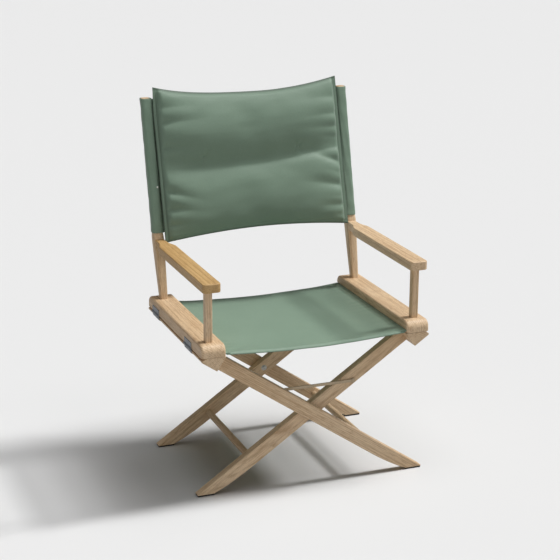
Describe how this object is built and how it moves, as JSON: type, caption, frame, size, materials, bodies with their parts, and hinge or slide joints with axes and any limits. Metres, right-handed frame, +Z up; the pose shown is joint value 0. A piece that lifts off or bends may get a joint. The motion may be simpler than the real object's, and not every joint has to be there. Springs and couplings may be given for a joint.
{
  "type": "folding director chair",
  "caption": "Folding wooden director chair with crossed legs, armrests, a slung fabric seat and a padded fabric back between two rear posts.",
  "frame": {"origin": "on the floor, on the mid-plane between the two sides, midway along the overall depth (front ends of the rails to the top of the back)", "axes": "+X to the right seen from the front, +Y to the back, +Z up"},
  "size_m": [0.5794, 0.51, 0.894],
  "materials": {
    "oak": "clear satin oil on light oak",
    "sage_fabric": "smooth close-woven coated cloth, soft sheen",
    "steel": "zinc plated, dull",
    "stay_metal": "satin, yellowed plating",
    "foot_pad": "moulded black glide"
  },
  "bodies": {
    "leg_frame_a": {"leg_a_front": "oak", "leg_a_rear": "oak", "hinge_bar_a": "oak", "stretcher_dowel_a": "oak", "foot_pad_a_front": "foot_pad", "foot_pad_a_rear": "foot_pad", "hinge_leg_leaves_a": "steel", "hinge_pins_a": "steel", "hinge_leg_screws_a": "steel", "pivot_inserts": "steel", "stay_stud": "stay_metal"},
    "leg_frame_b": {"leg_b_front": "oak", "leg_b_rear": "oak", "hinge_bar_b": "oak", "stretcher_dowel_b": "oak", "foot_pad_b_front": "foot_pad", "foot_pad_b_rear": "foot_pad", "hinge_leg_leaves_b": "steel", "hinge_pins_b": "steel", "hinge_leg_screws_b": "steel", "stay_pivot_screw": "stay_metal", "pivot_bolt_front": "steel", "pivot_bolt_rear": "steel", "pivot_washers": "steel", "pivot_spacers": "steel"},
    "stay": {"stay_link": "stay_metal"},
    "left_arm_frame": {"seat_rail_left": "oak", "front_post_left": "oak", "rear_post_left": "oak", "armrest_left": "oak", "armrest_dowel_left": "oak", "hinge_rail_leaves_left": "steel", "hinge_rail_screws_left": "steel", "sling_rod_left": "steel", "back_sleeve_left": "sage_fabric", "sleeve_stud_left": "steel", "seat_sling": "sage_fabric", "back_panel": "sage_fabric", "back_cushion": "sage_fabric"},
    "right_arm_frame": {"seat_rail_right": "oak", "front_post_right": "oak", "rear_post_right": "oak", "armrest_right": "oak", "armrest_dowel_right": "oak", "hinge_rail_leaves_right": "steel", "hinge_rail_screws_right": "steel", "sling_rod_right": "steel", "back_sleeve_right": "sage_fabric"}
  },
  "joints": [
    {"name": "fold", "type": "hinge", "parent": "left_arm_frame", "child": "leg_frame_a", "pos_m": [-0.287, 0, 0.359], "axis": [0, 1, 0], "range_deg": [0, 45], "deforming": ["seat_sling", "back_panel", "back_cushion"]},
    {"name": "leg_crossing", "type": "hinge", "parent": "leg_frame_a", "child": "leg_frame_b", "pos_m": [0, 0, 0.179], "axis": [0, 1, 0], "range_deg": [-90, 0]},
    {"name": "right_side_hinge", "type": "hinge", "parent": "leg_frame_b", "child": "right_arm_frame", "pos_m": [0.287, 0, 0.359], "axis": [0, 1, 0], "range_deg": [0, 45]},
    {"name": "stay", "type": "hinge", "parent": "leg_frame_b", "child": "stay", "pos_m": [0.107, -0.214, 0.243], "axis": [0, -1, 0], "range_deg": [0, 24]}
  ],
  "couplings": [
    {"joint": "leg_crossing", "follows": "fold", "ratio": -2},
    {"joint": "right_side_hinge", "follows": "fold", "ratio": 1}
  ]
}
